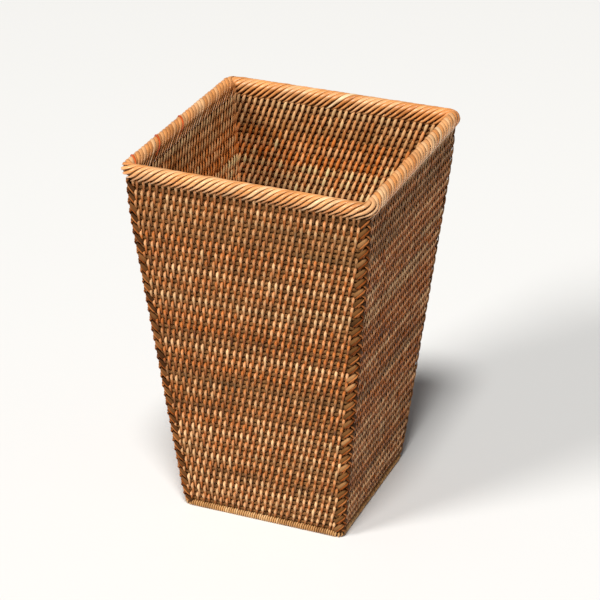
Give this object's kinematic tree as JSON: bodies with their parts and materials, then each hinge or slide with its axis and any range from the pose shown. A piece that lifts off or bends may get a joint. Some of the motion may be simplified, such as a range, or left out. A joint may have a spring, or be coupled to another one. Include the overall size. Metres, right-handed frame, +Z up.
{
  "type": "woven rattan wastebasket",
  "caption": "Square wastebasket in coiled rattan weave, wider at the top, with a thick wrapped rim, braided corners and a thin wrapped foot ring.",
  "frame": {"origin": "middle of the footprint, on the floor that the foot ring stands on", "axes": "+Z up through the middle of the mouth; +X to the right and +Y to the back, seen from the front wall; the front wall faces -Y and the splice strips are on the left run of the rim, at -X"},
  "size_m": [0.2436, 0.2436, 0.3663],
  "materials": {
    "rattan_core": "bare, satin, stained brown",
    "sewing_peel": "semi-gloss lacquer, orange brown",
    "rim_peel": "gloss lacquer, light honey",
    "splice_peel": "semi-gloss, reddish brown",
    "foot_peel": "satin, pale straw"
  },
  "bodies": {
    "root": {"rim_core": "rattan_core", "rim_splice_strips": "splice_peel", "rim_wrap_front": "rim_peel", "rim_wrap_right": "rim_peel", "rim_wrap_back": "rim_peel", "rim_wrap_left": "rim_peel", "corner_braid_front_right": "sewing_peel", "corner_braid_back_right": "sewing_peel", "corner_braid_back_left": "sewing_peel", "corner_braid_front_left": "sewing_peel", "coil_row_01": "rattan_core", "coil_row_02": "rattan_core", "coil_row_03": "rattan_core", "coil_row_04": "rattan_core", "coil_row_05": "rattan_core", "coil_row_06": "rattan_core", "coil_row_07": "rattan_core", "coil_row_08": "rattan_core", "coil_row_09": "rattan_core", "coil_row_10": "rattan_core", "coil_row_11": "rattan_core", "coil_row_12": "rattan_core", "coil_row_13": "rattan_core", "coil_row_14": "rattan_core", "coil_row_15": "rattan_core", "coil_row_16": "rattan_core", "coil_row_17": "rattan_core", "coil_row_18": "rattan_core", "coil_row_19": "rattan_core", "coil_row_20": "rattan_core", "coil_row_21": "rattan_core", "coil_row_22": "rattan_core", "coil_row_23": "rattan_core", "coil_row_24": "rattan_core", "coil_row_25": "rattan_core", "coil_row_26": "rattan_core", "coil_row_27": "rattan_core", "coil_row_28": "rattan_core", "coil_row_29": "rattan_core", "coil_row_30": "rattan_core", "coil_row_31": "rattan_core", "coil_row_32": "rattan_core", "coil_row_33": "rattan_core", "coil_row_34": "rattan_core", "stitching_front": "sewing_peel", "stitching_right": "sewing_peel", "stitching_back": "sewing_peel", "stitching_left": "sewing_peel", "foot_ring_core": "rattan_core", "foot_ring_wrap_front": "foot_peel", "foot_ring_wrap_right": "foot_peel", "foot_ring_wrap_back": "foot_peel", "foot_ring_wrap_left": "foot_peel", "base_rods": "rattan_core", "base_stitching": "sewing_peel"}
  },
  "joints": []
}
